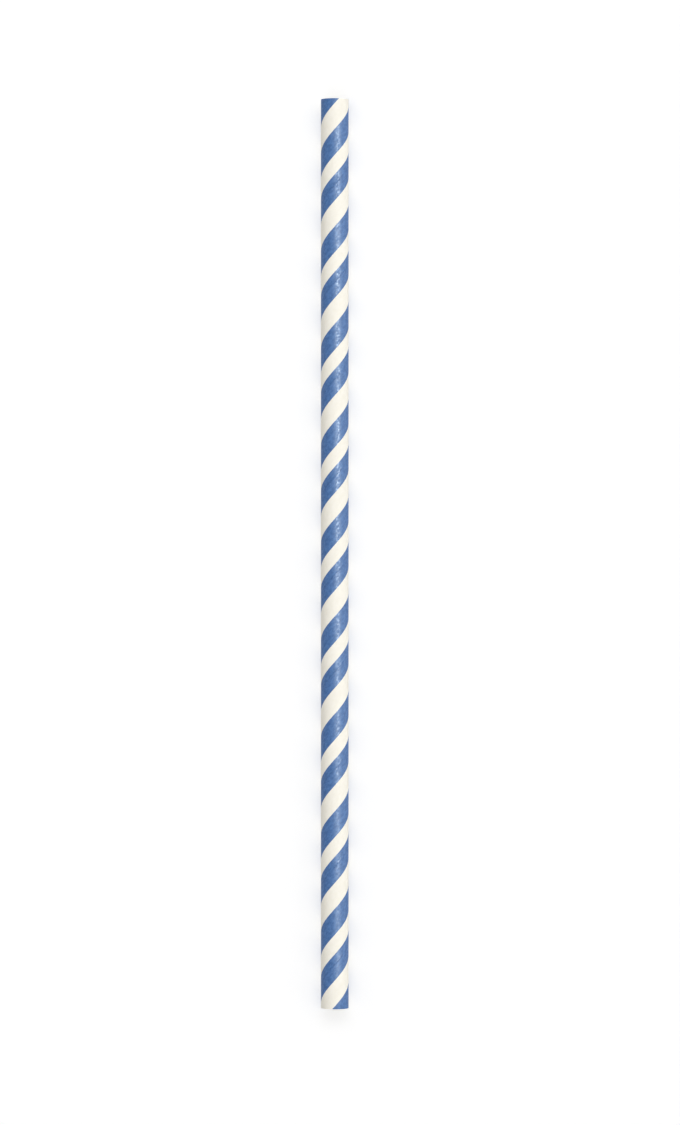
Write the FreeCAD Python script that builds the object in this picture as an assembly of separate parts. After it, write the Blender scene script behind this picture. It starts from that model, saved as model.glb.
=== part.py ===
import FreeCAD, Part
import math
import os

# A paper drinking straw, lying on its side: a tube wound from glued strips of paper, with two blue
# stripes that climb round it as a right-hand spiral. Its axis runs along Y, and it rests on z = 0.
# All sizes are in millimetres. Widths of stripes are measured along the straw, not across the stripe.

# The tube
STRAW_LENGTH = 197.0
OUTER_DIAMETER = 6.0
CORE_PLIES = 2
CORE_PLY = 0.15
OUTER_PLY = 0.10

# The printed outer ply: the length of straw that one turn of it covers, and the stripes on it
LEAD = 21.08
PLAIN_STRIPE = 5.70
JOINT_STRIPE = 5.75
NARROW_WHITE = 4.13

# Where the lower edge of the plain stripe first crosses the top of the straw, from the -Y end
PLAIN_STRIPE_START = 16.06

# The nick where the two edges of the outer ply meet, inside the other blue stripe
JOINT_BELOW_EDGE = 2.27
JOINT_WIDTH = 0.12
JOINT_DEPTH = 0.06

# Radii and heights that follow from them
OUTER_RADIUS = OUTER_DIAMETER / 2
PRINT_FLOOR_RADIUS = OUTER_RADIUS - OUTER_PLY
BORE_RADIUS = PRINT_FLOOR_RADIUS - CORE_PLIES * CORE_PLY
JOINT_FLOOR_RADIUS = OUTER_RADIUS - JOINT_DEPTH
PLAIN_STRIPE_END = PLAIN_STRIPE_START + PLAIN_STRIPE
JOINT_STRIPE_END = PLAIN_STRIPE_START - NARROW_WHITE
JOINT_STRIPE_START = JOINT_STRIPE_END - JOINT_STRIPE
JOINT_MIDDLE = JOINT_STRIPE_END - JOINT_BELOW_EDGE
JOINT_START = JOINT_MIDDLE - JOINT_WIDTH / 2
JOINT_END = JOINT_MIDDLE + JOINT_WIDTH / 2

# Climb of the spiral for each radian round the straw, and the angle that one patch of surface covers
CLIMB = LEAD / (2 * math.pi)
PATCH_ANGLE = math.pi

# The straw is built upright round this axis, with angle 0 towards +X, and is laid down at the end
AXIS = FreeCAD.Vector(0, 0, 1)
CENTRE = FreeCAD.Vector(0, 0, 0)


def round_surface(radius):
    """The surface of a cylinder about the straw's axis."""
    surface = Part.Cylinder()
    surface.Radius = radius
    return surface


def edge_on(surface, start, end):
    """The edge on a round surface between two points, each given as (angle, height)."""
    line = Part.Geom2d.Line2dSegment(FreeCAD.Base.Vector2d(*start), FreeCAD.Base.Vector2d(*end))
    return line.toShape(surface)


def turned(face, angle):
    """The face, turned round the straw's axis."""
    face.rotate(CENTRE, AXIS, math.degrees(angle))
    return face


def patch_starts(low, high):
    """The angles where the patches start, for a spiral between two heights at angle 0."""
    first = math.floor(-high / CLIMB / PATCH_ANGLE)
    last = math.ceil((STRAW_LENGTH - low) / CLIMB / PATCH_ANGLE)
    return [PATCH_ANGLE * count for count in range(first, last)]


def trimmed(outline, height, side):
    """The part of an outline above a height, where side is 1, or below it, where side is -1."""
    kept = []
    for (angle, start), (next_angle, end) in zip(outline, outline[1:] + outline[:1]):
        starts_inside = side * (start - height) > 0
        ends_inside = side * (end - height) > 0
        if starts_inside:
            kept.append((angle, start))
        if starts_inside != ends_inside:
            share = (height - start) / (end - start)
            kept.append((angle + share * (next_angle - angle), height))
    return kept


def band(radius, low, high):
    """The round faces of a spiral band between two heights at angle 0, trimmed to the straw's ends."""
    faces = []
    for angle in patch_starts(low, high):
        start = CLIMB * angle
        end = start + CLIMB * PATCH_ANGLE
        outline = [(0, start + low), (PATCH_ANGLE, end + low), (PATCH_ANGLE, end + high), (0, start + high)]
        outline = trimmed(trimmed(outline, 0, 1), STRAW_LENGTH, -1)
        if outline:
            surface = round_surface(radius)
            sides = zip(outline, outline[1:] + outline[:1])
            wire = Part.Wire([edge_on(surface, *side) for side in sides])
            faces.append(turned(Part.Face(surface, wire), angle))
    return faces


def spiral_edge(radius, height, angle):
    """The length of a spiral edge that lies in one patch and on the straw, if any."""
    start = max(angle, -height / CLIMB)
    end = min(angle + PATCH_ANGLE, (STRAW_LENGTH - height) / CLIMB)
    if start >= end:
        return None
    return edge_on(round_surface(radius), *[(turn - angle, height + CLIMB * turn) for turn in (start, end)])


def wall(inner, outer):
    """The faces between two spiral edges, each given as (radius, height at angle 0)."""
    faces = []
    for angle in patch_starts(min(inner[1], outer[1]), max(inner[1], outer[1])):
        edges = [spiral_edge(*inner, angle), spiral_edge(*outer, angle)]
        if all(edges):
            faces.append(turned(Part.makeRuledSurface(*edges, 1), angle))
    return faces


def sides(low, high):
    """The two walls that bound a stripe's channel, as deep as the outer ply."""
    return [
        face
        for height in (low, high)
        for face in wall((PRINT_FLOOR_RADIUS, height), (OUTER_RADIUS, height))
    ]


def end_face(shell, height, bore):
    """The flat face that closes a shell at one end of the straw, round the bore if there is one."""
    rim = [
        edge
        for edge in shell.Edges
        if all(abs(vertex.Z - height) < vertex.Tolerance for vertex in edge.Vertexes)
    ]
    outlines = [Part.Wire(Part.__sortEdges__(rim))]
    if bore:
        outlines.append(Part.Wire(Part.makeCircle(bore, FreeCAD.Vector(0, 0, height), AXIS)))
    return Part.makeFace(outlines, "Part::FaceMakerBullseye")


def bore_face(radius):
    """The round face of a bore that runs the whole length of the straw."""
    rod = Part.makeCylinder(radius, STRAW_LENGTH)
    return next(face for face in rod.Faces if face.Surface.TypeId == "Part::GeomCylinder")


def solid_from(faces, bore=None):
    """The solid that these faces and its flat ends enclose, with a bore of this radius if one is given."""
    shell = Part.makeShell(faces)
    shell.sewShape()
    ends = [end_face(shell, height, bore) for height in (0, STRAW_LENGTH)]
    bores = [bore_face(bore)] if bore else []
    shell = Part.makeShell(faces + ends + bores)
    shell.sewShape()
    solid = Part.Solid(shell)
    if solid.Volume < 0:
        solid.reverse()
    return solid


def paper_tube():
    """The wound wall of the straw, with a channel one ply deep for each printed stripe."""
    return solid_from(
        band(OUTER_RADIUS, JOINT_STRIPE_END, PLAIN_STRIPE_START)
        + band(OUTER_RADIUS, PLAIN_STRIPE_END, JOINT_STRIPE_START + LEAD)
        + band(PRINT_FLOOR_RADIUS, JOINT_STRIPE_START, JOINT_STRIPE_END)
        + band(PRINT_FLOOR_RADIUS, PLAIN_STRIPE_START, PLAIN_STRIPE_END)
        + sides(JOINT_STRIPE_START, JOINT_STRIPE_END)
        + sides(PLAIN_STRIPE_START, PLAIN_STRIPE_END),
        bore=BORE_RADIUS,
    )


def plain_blue_stripe():
    """The printed stripe with no joint in it. It fills its channel, flush with the tube."""
    return solid_from(
        band(OUTER_RADIUS, PLAIN_STRIPE_START, PLAIN_STRIPE_END)
        + band(PRINT_FLOOR_RADIUS, PLAIN_STRIPE_START, PLAIN_STRIPE_END)
        + sides(PLAIN_STRIPE_START, PLAIN_STRIPE_END)
    )


def joint_blue_stripe():
    """The printed stripe that the outer ply's joint runs through, with the joint as a fine nick."""
    return solid_from(
        band(OUTER_RADIUS, JOINT_STRIPE_START, JOINT_START)
        + wall((JOINT_FLOOR_RADIUS, JOINT_MIDDLE), (OUTER_RADIUS, JOINT_START))
        + wall((JOINT_FLOOR_RADIUS, JOINT_MIDDLE), (OUTER_RADIUS, JOINT_END))
        + band(OUTER_RADIUS, JOINT_END, JOINT_STRIPE_END)
        + band(PRINT_FLOOR_RADIUS, JOINT_STRIPE_START, JOINT_STRIPE_END)
        + sides(JOINT_STRIPE_START, JOINT_STRIPE_END)
    )


def laid_down(solid):
    """The solid with its axis along Y, its middle over the origin, and angle 0 on top."""
    x_axis, y_axis, z_axis = FreeCAD.Vector(1, 0, 0), FreeCAD.Vector(0, 1, 0), FreeCAD.Vector(0, 0, 1)
    turn = FreeCAD.Rotation(z_axis, x_axis, y_axis, "ZXY")
    place = FreeCAD.Placement(FreeCAD.Vector(0, -STRAW_LENGTH / 2, OUTER_RADIUS), turn)
    return solid.transformed(place.toMatrix())


os.makedirs("parts", exist_ok=True)
for make in (paper_tube, plain_blue_stripe, joint_blue_stripe):
    laid_down(make()).exportStep(f"parts/{make.__name__}.step")
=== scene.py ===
import math

import bmesh
import bpy
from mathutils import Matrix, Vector


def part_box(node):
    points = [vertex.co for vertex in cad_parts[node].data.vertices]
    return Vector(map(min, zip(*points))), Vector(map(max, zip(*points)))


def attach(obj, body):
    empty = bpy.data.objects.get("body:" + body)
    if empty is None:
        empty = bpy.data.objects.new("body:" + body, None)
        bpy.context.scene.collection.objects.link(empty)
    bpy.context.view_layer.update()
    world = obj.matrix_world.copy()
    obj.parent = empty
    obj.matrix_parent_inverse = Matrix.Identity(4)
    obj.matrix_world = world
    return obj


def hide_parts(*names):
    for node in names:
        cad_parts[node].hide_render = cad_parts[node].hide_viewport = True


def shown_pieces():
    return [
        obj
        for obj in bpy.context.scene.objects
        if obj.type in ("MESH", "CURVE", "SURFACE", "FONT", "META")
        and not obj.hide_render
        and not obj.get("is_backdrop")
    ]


# A paper drinking straw that lies on a white floor, seen from straight above. Three strips of paper
# are wound and glued into one tube, and the outer strip carries two blue stripes.
# Everything is in metres, apart from the patterns and the relief of the paper, which are in mm.
# The height of a strip or a stripe is measured along the straw, from its -Y end.

MM = 0.001

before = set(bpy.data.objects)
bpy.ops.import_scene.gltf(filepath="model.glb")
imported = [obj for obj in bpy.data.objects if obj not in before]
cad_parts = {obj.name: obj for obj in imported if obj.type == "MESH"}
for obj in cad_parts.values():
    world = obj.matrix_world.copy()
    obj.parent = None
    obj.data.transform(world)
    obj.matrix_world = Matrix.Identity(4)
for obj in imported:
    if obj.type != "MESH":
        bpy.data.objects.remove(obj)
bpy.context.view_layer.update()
TUBE_LOW, TUBE_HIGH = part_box("paper_tube")

# The tube, from the frame
LENGTH = TUBE_HIGH.y - TUBE_LOW.y
OUTER_RADIUS = (TUBE_HIGH.z - TUBE_LOW.z) / 2
AXIS_POINT = Vector((0, 0, TUBE_LOW.z + OUTER_RADIUS))
END_Y = TUBE_LOW.y

# The three strips that the wall is wound from
OUTER_PLY = 0.10 * MM
CORE_PLY = 0.15 * MM
PRINT_FLOOR_RADIUS = OUTER_RADIUS - OUTER_PLY
MIDDLE_RADIUS = PRINT_FLOOR_RADIUS - CORE_PLY
BORE_RADIUS = MIDDLE_RADIUS - CORE_PLY

# The outer strip: what one turn of it covers, and the stripes on it
LEAD = 21.08 * MM
PLAIN_STRIPE = 5.70 * MM
JOINT_STRIPE = 5.75 * MM
NARROW_WHITE = 4.13 * MM
PLAIN_START = 16.06 * MM
PLAIN_END = PLAIN_START + PLAIN_STRIPE
JOINT_STRIPE_END = PLAIN_START - NARROW_WHITE
JOINT_STRIPE_START = JOINT_STRIPE_END - JOINT_STRIPE

# The joint between the two edges of the outer strip, a nick in one of the stripes
JOINT_BELOW_EDGE = 2.27 * MM
JOINT_WIDTH = 0.12 * MM
JOINT_DEPTH = 0.06 * MM
JOINT_MIDDLE = JOINT_STRIPE_END - JOINT_BELOW_EDGE
JOINT_FLOOR_RADIUS = OUTER_RADIUS - JOINT_DEPTH

# The core strips' own joints, a third of a turn apart from each other and from the outer one
CORE_GAP = 0.10 * MM
MIDDLE_JOINT = JOINT_MIDDLE + LEAD / 3
INNER_JOINT = JOINT_MIDDLE - LEAD / 3

# How far a strip climbs, and how long the outer one is, for each radian round the straw
CLIMB = LEAD / math.tau
STRIP_PER_RADIAN = math.hypot(OUTER_RADIUS, CLIMB)

# How finely the strips are wound, and in how many turns. They start before the straw and run on past
# its end, and are cut off there.
STEPS_PER_TURN = 96
TURNS_BEFORE = 2
TURNS = TURNS_BEFORE + math.ceil(LENGTH / LEAD)

# How near to each other points are merged, and how near to the plane of a cut end they lie in it
MERGE = 0.015 * MM
FLAT = 0.0002 * MM

# How far the rims of the cut ends are worn off, the outer one and the others, and the angle from
# which an edge is shaded as a sharp one
RIM_WEAR = 0.04 * MM
PLY_WEAR = 0.025 * MM
WEAR_SEGMENTS = 2
SHARP = math.radians(35)


class Value:
    """What a node gives, with Python's arithmetic for numbers."""

    def __init__(self, shader, socket):
        self.shader = shader
        self.socket = socket

    def __add__(self, other):
        return self.shader.maths("ADD", self, other)

    def __radd__(self, other):
        return self.shader.maths("ADD", other, self)

    def __sub__(self, other):
        return self.shader.maths("SUBTRACT", self, other)

    def __rsub__(self, other):
        return self.shader.maths("SUBTRACT", other, self)

    def __mul__(self, other):
        return self.shader.maths("MULTIPLY", self, other)

    def __rmul__(self, other):
        return self.shader.maths("MULTIPLY", other, self)

    def __truediv__(self, other):
        return self.shader.maths("DIVIDE", self, other)

    def __rtruediv__(self, other):
        return self.shader.maths("DIVIDE", other, self)

    def __abs__(self):
        return self.shader.maths("ABSOLUTE", self)

    def floor(self):
        return self.shader.maths("FLOOR", self)

    def smooth(self, start, end):
        """0 before start, 1 after end, and a smooth step between them."""
        sockets = {"Value": self, "From Min": start, "From Max": end}
        return self.shader.node("ShaderNodeMapRange", sockets, interpolation_type="SMOOTHSTEP")

    def between(self, low, high):
        """Low where this is 0, high where it is 1, and in proportion between them."""
        return low + self * (high - low)


class Shader:
    """A material or a sky, built node by node."""

    def __init__(self, owner):
        owner.use_nodes = True
        self.tree = owner.node_tree
        self.tree.nodes.clear()

    def node(self, kind, sockets=(), output=0, **settings):
        """Adds a node, sets it up, and joins or fills its sockets. Gives one of its outputs."""
        node = self.tree.nodes.new(kind)
        for name, setting in settings.items():
            setattr(node, name, setting)
        for name, value in dict(sockets).items():
            if isinstance(value, Value):
                self.tree.links.new(value.socket, node.inputs[name])
            else:
                node.inputs[name].default_value = value
        return Value(self, node.outputs[output] if len(node.outputs) else None)

    def maths(self, operation, *values):
        return self.node("ShaderNodeMath", dict(enumerate(values)), operation=operation)

    def mix(self, share, first, second):
        """The colour between two colours."""
        sockets = {"Factor": share, 6: rgba(first), 7: rgba(second)}
        return self.node("ShaderNodeMix", sockets, output=2, data_type="RGBA")

    def noise(self, place, scale, detail=2.0, roughness=0.5):
        """Noise from 0 to 1 at a place, with this many features in each unit of it."""
        sockets = {"Vector": place, "Scale": scale, "Detail": detail, "Roughness": roughness}
        return self.node("ShaderNodeTexNoise", sockets)

    def vector(self, x, y):
        return self.node("ShaderNodeCombineXYZ", {"X": x, "Y": y})

    def object_place(self):
        return self.node("ShaderNodeTexCoord", output="Object")

    def strip_place(self):
        """Where a point lies on the outer strip: mm along it, and mm of straw above its joint."""
        place = self.object_place()
        x, y, z = (self.node("ShaderNodeSeparateXYZ", {0: place}, output=part) for part in "XYZ")
        angle = self.maths("ARCTAN2", x, z - AXIS_POINT.z)
        height = y - END_Y
        above_joint = height - CLIMB * angle - JOINT_MIDDLE
        turn = (above_joint / LEAD).floor()
        above = above_joint - turn * LEAD
        angle = angle + turn * math.tau
        along = (OUTER_RADIUS**2 * angle + CLIMB * height) / STRIP_PER_RADIAN
        return along / MM, above / MM

    def paper(self, colour, roughness, relief, specular=0.5):
        """The surface itself. relief is its height in mm."""
        normal = self.node("ShaderNodeBump", {"Height": relief, "Distance": MM, "Strength": 1.0})
        sockets = {
            "Base Color": colour,
            "Roughness": roughness,
            "Normal": normal,
            "Specular IOR Level": specular,
        }
        surface = self.node("ShaderNodeBsdfPrincipled", sockets)
        self.node("ShaderNodeOutputMaterial", {"Surface": surface})


def rgba(colour):
    return colour if isinstance(colour, Value) else (*colour, 1.0)


def blend(share, first, second):
    """A share of the first pattern, and the rest of the second."""
    return first * share + second * (1 - share)


# The colours of the paper and of the ink on it, each with its darker shade
WHITE = (0.915, 0.879, 0.792)
WHITE_SHADE = (0.888, 0.849, 0.746)
RAW_WHITE = (0.86, 0.83, 0.75)
RAW_SHADE = (0.78, 0.745, 0.655)
INK = (0.062, 0.166, 0.402)
INK_SHADE = (0.030, 0.108, 0.298)

# Fibres, as features to a mm. FIBRE_SHARE of them lie along the strip, and the rest cross it aslant.
FIBRES_ALONG = 1.6
FIBRES_ACROSS = 9.0
FIBRE_SHARE = 0.6
CROSSED_ALONG = 5.0
CROSSED_SLANT = 2.0
CROSSED_ACROSS = 3.5

# White paper: its clouds, as features to a mm, and their share in its tone beside the fibres. Its
# contrast is where the tone turns from shade to white. Its roughness follows the clouds.
WHITE_CLOUDS = 0.9
WHITE_CLOUD_SHARE = 0.6
WHITE_CONTRAST = (0.35, 0.65)
WHITE_ROUGHNESS = (0.72, 0.88)
WHITE_SPECULAR = 0.35
WHITE_FIBRE_RELIEF = 0.004
WHITE_CLOUD_RELIEF = 0.002

# Blue ink: the same, but its roughness follows clouds of its own
INK_CLOUDS = 1.1
INK_CLOUD_SHARE = 0.7
INK_CONTRAST = (0.38, 0.62)
INK_ROUGHNESS = (0.36, 0.68)
INK_SPECULAR = 0.42
INK_FIBRE_RELIEF = 0.006
INK_CLOUD_RELIEF = 0.005
SHEEN_CLOUDS = 1.7
SHEEN_CONTRAST = (0.30, 0.70)

# Specks where the ink hardly took, as features to a mm, and how bare the barest of them are
SPECKS = 9.0
SPECK_CONTRAST = (0.62, 0.80)
SPECK_BARENESS = 0.25

# The edges of a stripe: the mm over which the ink fades out, how many rags there are to a mm, and the
# mm from the innermost of them to the outermost
FADE = 0.07
RAGS = 6.0
RAG_SIZE = 0.10

# The edge of the outer strip is lifted by so many mm at its joint, and less and less up to so many mm
# of straw above it.
LIFT = 0.035
LIFT_WIDTH = 0.8

# Raw paper: its fuzz and its clouds, as features to a mm, and the share of the fuzz in its tone. Its
# roughness and its relief follow the fuzz.
RAW_FUZZ = 9.0
RAW_CLOUDS = 1.2
RAW_FUZZ_SHARE = 0.6
RAW_CONTRAST = (0.35, 0.65)
RAW_ROUGHNESS = (0.82, 0.97)
RAW_RELIEF = 0.012


def fibres(shader, along, above):
    """Short fibres that lie mostly along the strip, from 0 to 1."""
    lengthwise = shader.vector(along * FIBRES_ALONG, above * FIBRES_ACROSS)
    aslant = shader.vector(along * CROSSED_ALONG + above * CROSSED_SLANT, above * CROSSED_ACROSS)
    fine = shader.noise(lengthwise, 1.0, detail=3.0)
    crossed = shader.noise(aslant, 1.0, detail=3.0)
    return blend(FIBRE_SHARE, fine, crossed)


def white_paper():
    """The outer strip where it isn't printed: smooth, warm white, faintly cloudy."""
    material = bpy.data.materials.new("white_paper")
    shader = Shader(material)
    along, above = shader.strip_place()
    clouds = shader.noise(shader.vector(along, above), WHITE_CLOUDS, detail=3.0)
    threads = fibres(shader, along, above)
    tone = blend(WHITE_CLOUD_SHARE, clouds, threads).smooth(*WHITE_CONTRAST)
    colour = shader.mix(tone, WHITE_SHADE, WHITE)
    relief = threads * WHITE_FIBRE_RELIEF + clouds * WHITE_CLOUD_RELIEF
    shader.paper(colour, clouds.between(*WHITE_ROUGHNESS), relief, specular=WHITE_SPECULAR)
    return material


def stripe_edges(shader, place, above, low, high):
    """0 in the stripe between two heights, and 1 past its ragged edges."""
    turn = LEAD / MM
    half = (high - low) / 2 / MM
    middle = ((low + high) / 2 - JOINT_MIDDLE) / MM
    turns = (above - middle + turn / 2) / turn
    from_middle = (turns - turns.floor()) * turn - turn / 2
    ragged = (shader.noise(place, RAGS, detail=3.0) - 0.5) * RAG_SIZE
    return (abs(from_middle) + ragged).smooth(half - FADE, half)


def blue_ink(name, low, high, lifted=False):
    """Blue ink on the same paper, from one height to another. It is mottled, misses some specks of the
    paper, and is slightly ragged at its edges. The paper may be lifted above the joint."""
    material = bpy.data.materials.new(name)
    shader = Shader(material)
    along, above = shader.strip_place()
    place = shader.vector(along, above)
    clouds = shader.noise(place, INK_CLOUDS, detail=4.0, roughness=0.6)
    threads = fibres(shader, along, above)
    tone = blend(INK_CLOUD_SHARE, clouds, threads).smooth(*INK_CONTRAST)
    ink = shader.mix(tone, INK_SHADE, INK)
    specks = shader.noise(place, SPECKS).smooth(*SPECK_CONTRAST) * SPECK_BARENESS
    edges = stripe_edges(shader, place, above, low, high)
    colour = shader.mix(shader.maths("MAXIMUM", specks, edges), ink, WHITE)
    sheen = shader.noise(place, SHEEN_CLOUDS, detail=3.0, roughness=0.6).smooth(*SHEEN_CONTRAST)
    relief = threads * INK_FIBRE_RELIEF + clouds * INK_CLOUD_RELIEF
    if lifted:
        relief = relief + shader.maths("MAXIMUM", 1 - above / LIFT_WIDTH, 0.0) * LIFT
    shader.paper(colour, sheen.between(*INK_ROUGHNESS), relief, specular=INK_SPECULAR)
    return material


def raw_paper():
    """Uncoated paper, in the bore and on the cut ends."""
    material = bpy.data.materials.new("raw_paper")
    shader = Shader(material)
    place = shader.object_place()
    fuzz = shader.noise(place, RAW_FUZZ / MM, detail=4.0, roughness=0.65)
    clouds = shader.noise(place, RAW_CLOUDS / MM)
    tone = blend(RAW_FUZZ_SHARE, fuzz, clouds).smooth(*RAW_CONTRAST)
    colour = shader.mix(tone, RAW_SHADE, RAW_WHITE)
    shader.paper(colour, fuzz.between(*RAW_ROUGHNESS), fuzz * RAW_RELIEF)
    return material


def section(low, high, inner, outer):
    """The outline of a strip's cut: (radius, height) at its corners."""
    return [(inner, low), (outer, low), (outer, high), (inner, high)]


def nicked_section(low, high, inner, outer):
    """The same, with the outer strip's joint as a nick in its outer side."""
    half = JOINT_WIDTH / 2
    nick = [
        (outer, JOINT_MIDDLE - half),
        (JOINT_FLOOR_RADIUS, JOINT_MIDDLE),
        (outer, JOINT_MIDDLE + half),
    ]
    corners = section(low, high, inner, outer)
    return corners[:2] + nick + corners[2:]


def wind(bm, points):
    """Winds a strip with this section round the straw, and cuts it off at both ends."""
    start = END_Y - TURNS_BEFORE * LEAD
    ring = [bm.verts.new((0, start + height, AXIS_POINT.z + radius)) for radius, height in points]
    edges = [bm.edges.new((ring[i - 1], ring[i])) for i in range(len(ring))]
    bmesh.ops.spin(
        bm,
        geom=ring + edges,
        cent=AXIS_POINT,
        axis=(0, 1, 0),
        dvec=(0, LEAD / STEPS_PER_TURN, 0),
        angle=math.tau,
        steps=STEPS_PER_TURN,
        use_merge=False,
    )
    turn = bm.verts[:] + bm.edges[:] + bm.faces[:]
    for count in range(1, TURNS):
        copy = bmesh.ops.duplicate(bm, geom=turn)["geom"]
        moved = [item for item in copy if isinstance(item, bmesh.types.BMVert)]
        bmesh.ops.translate(bm, vec=(0, count * LEAD, 0), verts=moved)
    bmesh.ops.remove_doubles(bm, verts=bm.verts[:], dist=MERGE)
    cut(bm, END_Y, -1)
    cut(bm, END_Y + LENGTH, 1)


def cut(bm, y, side):
    """Cuts everything off on one side of a plane across the straw, and closes what it cut."""
    whole = bm.verts[:] + bm.edges[:] + bm.faces[:]
    bmesh.ops.bisect_plane(
        bm, geom=whole, dist=FLAT, plane_co=(0, y, 0), plane_no=(0, side, 0), clear_outer=True
    )
    bmesh.ops.remove_doubles(bm, verts=[vertex for vertex in bm.verts if at_end(vertex)], dist=MERGE)
    rim = [edge for edge in bm.edges if edge.is_boundary and all(at_end(vertex) for vertex in edge.verts)]
    bmesh.ops.contextual_create(bm, geom=rim)


def at_end(vertex):
    """Whether a vertex lies in one of the straw's cut ends."""
    return min(abs(vertex.co.y - END_Y), abs(vertex.co.y - END_Y - LENGTH)) < FLAT


def radius_of(vertex):
    return math.hypot(vertex.co.x, vertex.co.z - AXIS_POINT.z)


def wear_ends(bm, radius, wear):
    """Rounds the edges of the cut ends that lie at this radius."""
    rim = [
        edge
        for edge in bm.edges
        if all(at_end(vertex) and abs(radius_of(vertex) - radius) < MERGE for vertex in edge.verts)
    ]
    bmesh.ops.bevel(
        bm,
        geom=rim,
        offset=wear,
        segments=WEAR_SEGMENTS,
        profile=0.5,
        affect="EDGES",
        material=-1,
        clamp_overlap=True,
    )


def strip(points):
    """A wound strip by itself, with the outer and inner rims of its cut ends worn."""
    bm = bmesh.new()
    wind(bm, points)
    for radius in {radius for radius, height in points}:
        wear_ends(bm, radius, RIM_WEAR if radius == OUTER_RADIUS else PLY_WEAR)
    return bm


def outer_strip(low, high):
    return strip(section(low, high, PRINT_FLOOR_RADIUS, OUTER_RADIUS))


def joined(strips):
    """One mesh of several strips."""
    whole = bmesh.new()
    for bm in strips:
        mesh = bpy.data.meshes.new("strip")
        bm.to_mesh(mesh)
        bm.free()
        whole.from_mesh(mesh)
        bpy.data.meshes.remove(mesh)
    return whole


def placed(name, bm, *materials):
    """The object made of this mesh, at the origin, with these materials."""
    mesh = bpy.data.meshes.new(name)
    bm.to_mesh(mesh)
    bm.free()
    for material in materials:
        mesh.materials.append(material)
    made = bpy.data.objects.new(name, mesh)
    bpy.context.scene.collection.objects.link(made)
    return made


def finished(name, bm, coating, node):
    """The piece made of this mesh, in the place of one of the frame's nodes. Its coating or ink covers
    the outside of the straw, and the rest is raw paper."""
    bmesh.ops.recalc_face_normals(bm, faces=bm.faces[:])
    for face in bm.faces:
        face.smooth = True
        coated = all(radius_of(vertex) > JOINT_FLOOR_RADIUS - MERGE for vertex in face.verts)
        face.material_index = 0 if coated else 1
    for edge in bm.edges:
        edge.smooth = edge.calc_face_angle(0) < SHARP
    piece = placed(name, bm, coating, RAW_PAPER)
    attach(piece, "root")
    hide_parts(node)


def wound_paper_wall():
    """Both core strips, and the white parts of the outer one."""
    strips = [
        strip(section(INNER_JOINT, INNER_JOINT + LEAD - CORE_GAP, BORE_RADIUS, MIDDLE_RADIUS)),
        strip(section(MIDDLE_JOINT, MIDDLE_JOINT + LEAD - CORE_GAP, MIDDLE_RADIUS, PRINT_FLOOR_RADIUS)),
        outer_strip(JOINT_STRIPE_END, PLAIN_START),
        outer_strip(PLAIN_END, JOINT_STRIPE_START + LEAD),
    ]
    finished("wound_paper_wall", joined(strips), white_paper(), "paper_tube")


def plain_blue_print():
    ink = blue_ink("plain_blue_ink", PLAIN_START, PLAIN_END)
    bm = outer_strip(PLAIN_START, PLAIN_END)
    finished("plain_blue_print", bm, ink, "plain_blue_stripe")


def joint_blue_print():
    ink = blue_ink("joint_blue_ink", JOINT_STRIPE_START, JOINT_STRIPE_END, lifted=True)
    bm = strip(nicked_section(JOINT_STRIPE_START, JOINT_STRIPE_END, PRINT_FLOOR_RADIUS, OUTER_RADIUS))
    finished("joint_blue_print", bm, ink, "joint_blue_stripe")


RAW_PAPER = raw_paper()
wound_paper_wall()
plain_blue_print()
joint_blue_print()

# The floor is white to the camera and keeps a faint shadow. It throws back the light of a plain one.
# Between the last two distances from the middle it turns as white as the sky.
FLOOR_SIZE = 6.0
FLOOR_BOUNCE = 0.95
SEEN_FLOOR = 0.72
SEEN_GLOW = 0.505
NEAR_FLOOR = 0.15
FAR_FLOOR = 0.40


def seen(shader):
    """1 for what the camera, a reflection or a clear surface looks at, and 0 for light."""
    rays = ("Is Camera Ray", "Is Glossy Ray", "Is Transmission Ray")
    camera_ray, glossy_ray, clear_ray = (shader.node("ShaderNodeLightPath", output=ray) for ray in rays)
    return shader.maths("MAXIMUM", shader.maths("MAXIMUM", camera_ray, glossy_ray), clear_ray)


def floor_paint():
    """Plain and pale to light, and white to the camera."""
    material = bpy.data.materials.new("floor")
    shader = Shader(material)
    lit = shader.node("ShaderNodeBsdfDiffuse", {"Color": rgba((FLOOR_BOUNCE,) * 3)})
    shown = shader.node("ShaderNodeBsdfDiffuse", {"Color": rgba((SEEN_FLOOR,) * 3)})
    glow = shader.node("ShaderNodeEmission", {"Strength": SEEN_GLOW})
    near = shader.node("ShaderNodeAddShader", {0: shown, 1: glow})
    far = shader.node("ShaderNodeEmission", {"Strength": 1.0})
    place = shader.object_place()
    distance = shader.node("ShaderNodeVectorMath", {0: place}, output="Value", operation="LENGTH")
    farness = distance.smooth(NEAR_FLOOR, FAR_FLOOR)
    white = shader.node("ShaderNodeMixShader", {0: farness, 1: near, 2: far})
    surface = shader.node("ShaderNodeMixShader", {0: seen(shader), 1: lit, 2: white})
    shader.node("ShaderNodeOutputMaterial", {"Surface": surface})
    return material


def white_floor():
    bm = bmesh.new()
    bmesh.ops.create_grid(bm, x_segments=1, y_segments=1, size=FLOOR_SIZE / 2)
    floor = placed("floor", bm, floor_paint())
    floor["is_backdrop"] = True


white_floor()

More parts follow.
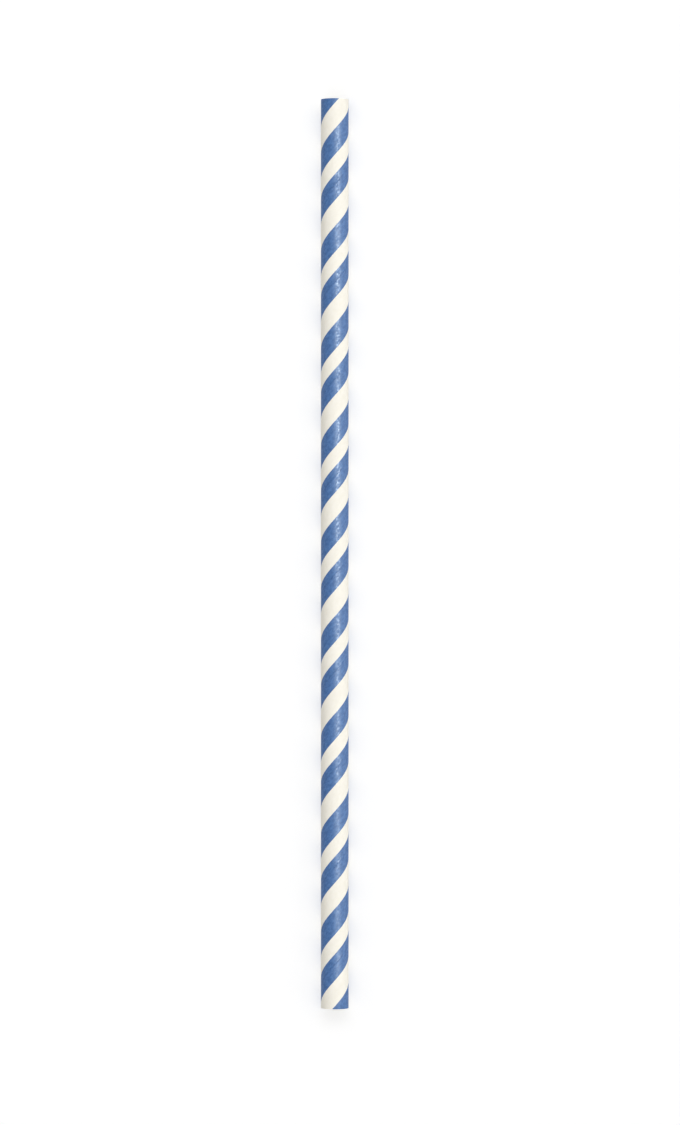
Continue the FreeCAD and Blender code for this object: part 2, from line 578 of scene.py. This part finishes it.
# The light: an even sky, white where it is seen, a broad lamp beyond the +Y end, a lamp to the right
# that lights the straw and not the floor, and two more to the right that only glosses catch. The one
# beside it makes the streak along the straw, and the one low down brightens the straw's right edge.
# A lamp's tilt is measured from straight above, and its second size runs the way the straw does.
SKY = 0.63
LAMP_DISTANCE = 0.9
AHEAD_TILT = math.radians(30)
AHEAD_SIZE = (0.70, 0.30)
AHEAD_POWER = 0.95
SIDE_TILT = math.radians(33)
SIDE_SIZE = (0.50, 1.00)
SIDE_POWER = 3.4
STREAK_TILT = math.radians(25.5)
STREAK_SIZE = (0.34, 0.20)
STREAK_POWER = 17
STREAK_TINT = (0.90, 1.02, 1.06)
STREAK_AHEAD = 0.09
RIM_TILT = math.radians(86)
RIM_SIZE = (0.10, 0.60)
RIM_POWER = 2.3


def sky():
    world = bpy.data.worlds.new("sky")
    shader = Shader(world)
    sockets = {"Color": rgba((1.0, 1.0, 1.0)), "Strength": seen(shader).between(SKY, 1)}
    background = shader.node("ShaderNodeBackground", sockets)
    shader.node("ShaderNodeOutputWorld", {"Surface": background})
    bpy.context.scene.world = world


def lamp(name, size, power, place, turn):
    """A lamp of this size, moved and turned from straight above."""
    light = bpy.data.lights.new(name, "AREA")
    light.shape = "RECTANGLE"
    light.size, light.size_y = size
    light.energy = power
    holder = bpy.data.objects.new(name, light)
    holder.location = place
    holder.rotation_euler = turn
    bpy.context.scene.collection.objects.link(holder)
    return holder


def side_lamp(name, size, power, tilt, ahead=0.0):
    """A lamp to the right of the straw, and so far towards its +Y end."""
    place = (LAMP_DISTANCE * math.sin(tilt), ahead, LAMP_DISTANCE * math.cos(tilt))
    return lamp(name, size, power, place, (0, tilt, 0))


def ahead_lamp(name, size, power):
    """A lamp in line with the straw, beyond its +Y end."""
    place = (0, LAMP_DISTANCE * math.sin(AHEAD_TILT), LAMP_DISTANCE * math.cos(AHEAD_TILT))
    return lamp(name, size, power, place, (-AHEAD_TILT, 0, 0))


def straw_only():
    """The pieces of the straw, as a collection that a lamp's light can be kept to."""
    straw = bpy.data.collections.new("straw_only")
    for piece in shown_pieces():
        straw.objects.link(piece)
    return straw


sky()
ahead_lamp("window", AHEAD_SIZE, AHEAD_POWER)
side_lamp("side", SIDE_SIZE, SIDE_POWER, SIDE_TILT).light_linking.receiver_collection = straw_only()
streak = side_lamp("streak", STREAK_SIZE, STREAK_POWER, STREAK_TILT, STREAK_AHEAD)
streak.data.color = STREAK_TINT
streak.visible_diffuse = False
side_lamp("rim", RIM_SIZE, RIM_POWER, RIM_TILT).visible_diffuse = False

# The camera looks straight down. In the picture, 680 by 1125 pixels, the straw's top line is 911.3
# pixels long, and its middle is at (334.75, 553.7). The height of its sensor is in mm.
PICTURE_WIDTH_PX = 680
PICTURE_HEIGHT_PX = 1125
STRAW_LENGTH_PX = 911.3
STRAW_MIDDLE_X_PX = 334.75
STRAW_MIDDLE_Y_PX = 553.7
CAMERA_HEIGHT = 0.95
SENSOR_HEIGHT = 36.0


def camera():
    scale = LENGTH / STRAW_LENGTH_PX
    data = bpy.data.cameras.new("camera")
    data.sensor_fit = "VERTICAL"
    data.sensor_height = SENSOR_HEIGHT
    data.lens = SENSOR_HEIGHT * (CAMERA_HEIGHT - TUBE_HIGH.z) / (PICTURE_HEIGHT_PX * scale)
    eye = bpy.data.objects.new("camera", data)
    eye.location = (
        (PICTURE_WIDTH_PX / 2 - STRAW_MIDDLE_X_PX) * scale,
        (STRAW_MIDDLE_Y_PX - PICTURE_HEIGHT_PX / 2) * scale,
        CAMERA_HEIGHT,
    )
    bpy.context.scene.collection.objects.link(eye)
    bpy.context.scene.camera = eye


camera()
bpy.context.scene.view_settings.view_transform = "Standard"
